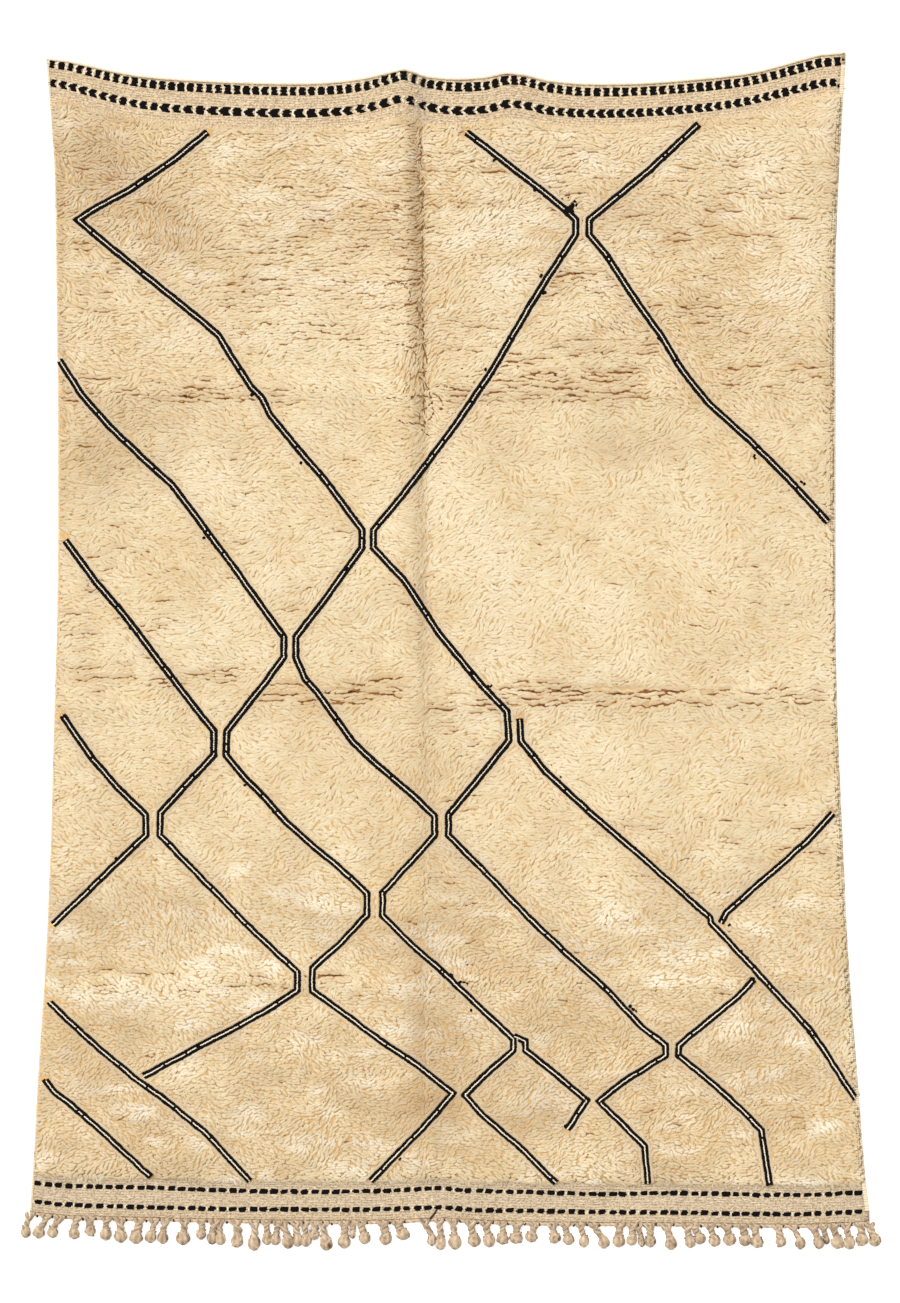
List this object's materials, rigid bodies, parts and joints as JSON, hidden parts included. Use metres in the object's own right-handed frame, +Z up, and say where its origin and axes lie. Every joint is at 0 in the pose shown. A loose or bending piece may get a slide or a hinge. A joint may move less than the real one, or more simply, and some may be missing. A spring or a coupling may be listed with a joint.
{
  "type": "beni ourain rug",
  "caption": "Hand-knotted cream wool pile rug with black lozenge lines, flat-woven dashed end bands and a knotted tassel fringe, lying flat.",
  "frame": {"origin": "on the floor, under the middle of the rug's whole outline with its fringe", "axes": "+Z up out of the pile, +Y from the fringed end towards the plain end, +X across the rug to the right as seen from above"},
  "size_m": [2.1402, 3.0032, 0.0399],
  "materials": {
    "wool_pile": "knotted cream wool pile with black knotted lines; flat-woven ends",
    "fringe_cord": "matt beige cotton and wool warp cord, twisted and knotted"
  },
  "bodies": {
    "root": {"rug": "wool_pile", "fringe": "fringe_cord"}
  },
  "joints": []
}
